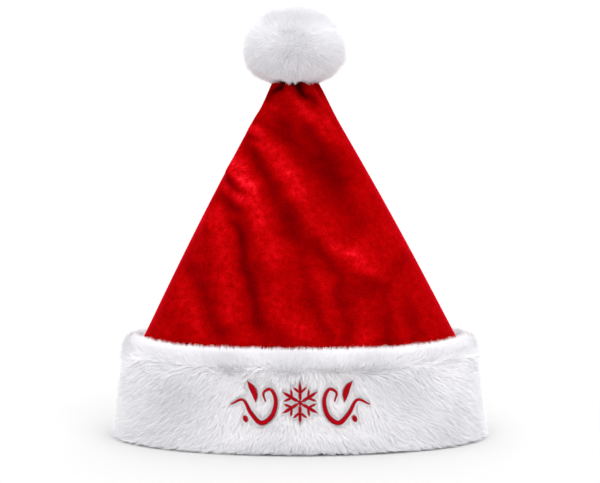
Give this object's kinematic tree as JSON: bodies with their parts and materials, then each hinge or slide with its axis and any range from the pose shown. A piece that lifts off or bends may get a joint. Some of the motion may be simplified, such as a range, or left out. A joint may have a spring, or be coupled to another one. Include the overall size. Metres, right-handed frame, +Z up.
{
  "type": "santa hat",
  "caption": "Plush santa hat: red cone with soft folds, deep white fur cuff, white fur pompom and a raised stitched motif on the front; open below for a head.",
  "frame": {"origin": "middle of the head opening, on the surface that the cuff stands on", "axes": "+Z up to the pompom, -Y out of the front with the embroidery, +X to the right in the front view"},
  "size_m": [0.2781, 0.176, 0.3246],
  "materials": {
    "red_plush": "short-pile velvet plush, bright sheen at grazing angles",
    "white_fur": "deep soft faux fur",
    "red_thread": "satin-stitched rayon thread, silky"
  },
  "bodies": {
    "root": {"crown": "red_plush", "cuff": "white_fur", "pompom": "white_fur", "embroidered_snowflake": "red_thread", "embroidered_scroll_left": "red_thread", "embroidered_scroll_right": "red_thread", "embroidered_leaf_left": "red_thread", "embroidered_leaf_right": "red_thread", "embroidered_dot_left": "red_thread", "embroidered_dot_right": "red_thread"}
  },
  "joints": []
}
